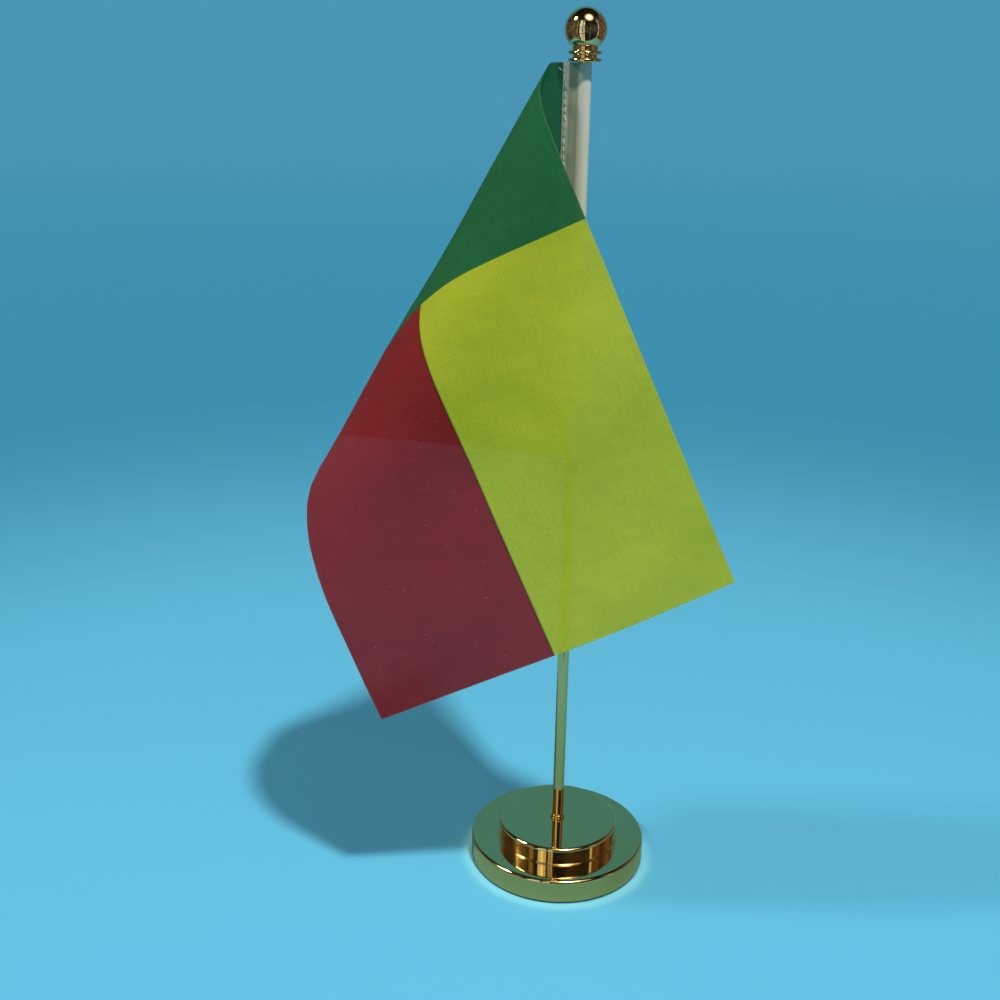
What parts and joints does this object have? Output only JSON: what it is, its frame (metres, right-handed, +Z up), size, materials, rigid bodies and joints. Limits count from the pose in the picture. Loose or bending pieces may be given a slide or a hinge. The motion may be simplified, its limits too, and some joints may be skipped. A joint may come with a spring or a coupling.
{
  "type": "desk flag stand",
  "caption": "Table flag on a round two-tier weighted base, with a screwed-on pole, a ball finial and a sewn satin flag folded over itself.",
  "frame": {"origin": "centre of the base's underside, where it stands on the table", "axes": "+Z up along the pole, +X to the right as seen in the usual view, -Y towards the viewer"},
  "size_m": [0.1563, 0.0764, 0.3316],
  "materials": {
    "gold_plating": "mirror-polished thin gold plating",
    "cast_iron": "rough grey iron",
    "steel": "zinc-plated steel",
    "brass": "turned brass",
    "pad_foam": "black closed-cell foam",
    "cream_satin": "sheer cream satin ribbon",
    "printed_satin": "thin printed satin in green, yellow and red",
    "white_thread": "twisted sewing thread"
  },
  "bodies": {
    "base": {"base_pad": "pad_foam", "ballast_disc": "cast_iron", "lower_tier_shell": "gold_plating", "upper_tier_filler": "cast_iron", "upper_tier_shell": "gold_plating", "centre_bolt": "steel", "flat_washer": "steel", "spring_washer": "steel", "foot_nut": "gold_plating"},
    "pole_lift": {"foot_insert": "brass"},
    "pole": {"pole_tube": "gold_plating", "top_insert": "brass"},
    "finial_lift": {"finial_stud": "steel"},
    "finial": {"finial_collar": "gold_plating", "finial_ball": "gold_plating"},
    "tie": {"tie_thread": "white_thread"},
    "flag": {"pocket": "cream_satin", "needle_thread": "white_thread", "bobbin_thread": "white_thread", "flag_cloth": "printed_satin"}
  },
  "joints": [
    {"name": "pole_lift", "type": "slide", "parent": "base", "child": "pole_lift", "axis": [0, 0, 1], "range_m": [0, 0.006]},
    {"name": "pole_turn", "type": "hinge", "parent": "pole_lift", "child": "pole", "pos_m": [0, 0, 0.0189], "axis": [0, 0, 1], "range_deg": [0, 4810]},
    {"name": "finial_lift", "type": "slide", "parent": "pole", "child": "finial_lift", "axis": [0, 0, 1], "range_m": [0, 0.006]},
    {"name": "finial_turn", "type": "hinge", "parent": "finial_lift", "child": "finial", "pos_m": [0, 0, 0.314], "axis": [0, 0, 1], "range_deg": [0, 4810]},
    {"name": "flag_slide", "type": "slide", "parent": "pole", "child": "tie", "axis": [0, 0, -1], "range_m": [0, 0.07]},
    {"name": "flag_swing", "type": "hinge", "parent": "tie", "child": "flag", "pos_m": [0, 0, 0.3137], "axis": [0, 0, 1], "continuous": true}
  ],
  "couplings": [
    {"joint": "pole_turn", "follows": "pole_lift", "rad_per_m": 13963},
    {"joint": "finial_turn", "follows": "finial_lift", "rad_per_m": 13963}
  ]
}
